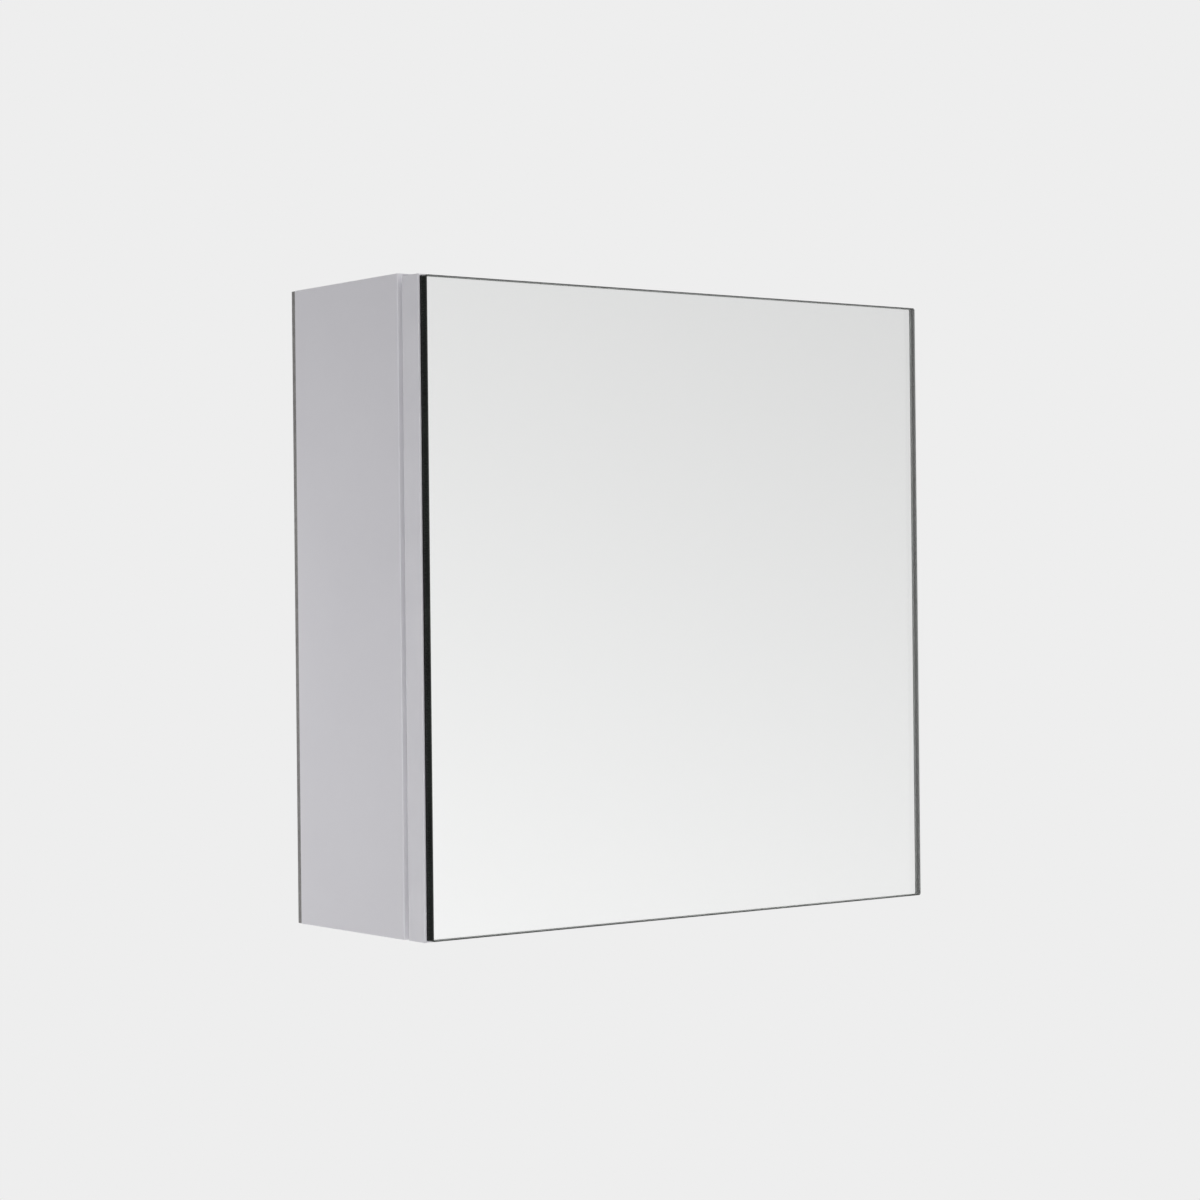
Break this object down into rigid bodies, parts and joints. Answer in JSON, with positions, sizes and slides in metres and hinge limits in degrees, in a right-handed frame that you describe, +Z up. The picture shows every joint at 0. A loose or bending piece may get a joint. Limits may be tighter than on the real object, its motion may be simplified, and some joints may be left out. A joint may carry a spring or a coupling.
{
  "type": "medicine cabinet with mirror",
  "caption": "Shallow wall-hung bathroom cabinet with a frameless mirror door on concealed cup hinges, glass shelves on pins and a push latch.",
  "frame": {"origin": "middle of the rear face, on the wall plane, half way up and across", "axes": "+X to the right seen from the room, +Y towards the wall, +Z up; the mirror faces -Y"},
  "size_m": [0.4, 0.15, 0.4],
  "materials": {
    "white_board": "white melamine-faced chipboard, satin",
    "white_band": "white ABS edge band, satin",
    "hardboard": "thin hardboard, raw grey-brown edge",
    "mirror_silver": "silvered back of the mirror",
    "mirror_glass": "float glass, ground dark edges",
    "shelf_glass": "clear toughened glass, polished edges",
    "foam_tape": "black double-sided foam tape",
    "nickel": "nickel-plated pressed steel",
    "zinc": "die-cast zinc, dull",
    "screw_steel": "zinc-plated steel",
    "spring_steel": "bright drawn steel",
    "beech": "fluted beech dowel",
    "white_plastic": "moulded white plastic, fine texture",
    "magnet": "plated disc magnet"
  },
  "bodies": {
    "cabinet": {"side_panel_left": "white_board", "side_panel_right": "white_board", "top_panel": "white_board", "bottom_panel": "white_board", "hanging_rail": "white_board", "back_panel": "hardboard", "carcass_edge_bands": "white_band", "back_screws": "screw_steel", "cam_locks": "zinc", "cam_bolts": "screw_steel", "cam_caps": "white_plastic", "wood_dowels": "beech", "shelf_upper": "shelf_glass", "shelf_lower": "shelf_glass", "shelf_pins_upper": "nickel", "shelf_pins_lower": "nickel", "hinge_arm_upper": "nickel", "hinge_arm_lower": "nickel", "hinge_arm_screws": "screw_steel", "latch_housing": "white_plastic", "latch_screws": "screw_steel", "latch_spring": "spring_steel"},
    "door": {"door_panel": "white_board", "door_edge_bands": "white_band", "mirror_tape": "foam_tape", "mirror_silvering": "mirror_silver", "mirror_glass": "mirror_glass", "hinge_cup_upper": "nickel", "hinge_cup_lower": "nickel", "hinge_pin_upper": "spring_steel", "hinge_pin_lower": "spring_steel", "hinge_cup_screws": "screw_steel", "strike_plate": "nickel", "strike_screw": "screw_steel"},
    "plunger": {"latch_plunger": "white_plastic", "latch_magnet": "magnet"}
  },
  "joints": [
    {"name": "door_swing", "type": "hinge", "parent": "cabinet", "child": "door", "pos_m": [0.191, -0.13555, 0], "axis": [0, 0, 1], "range_deg": [0, 110]},
    {"name": "latch_push", "type": "slide", "parent": "cabinet", "child": "plunger", "axis": [0, -1, 0], "range_m": [0, 0.01], "deforming": ["latch_spring"]}
  ],
  "couplings": [
    {"joint": "latch_push", "follows": "door_swing", "m_per_rad": 0.0052}
  ]
}
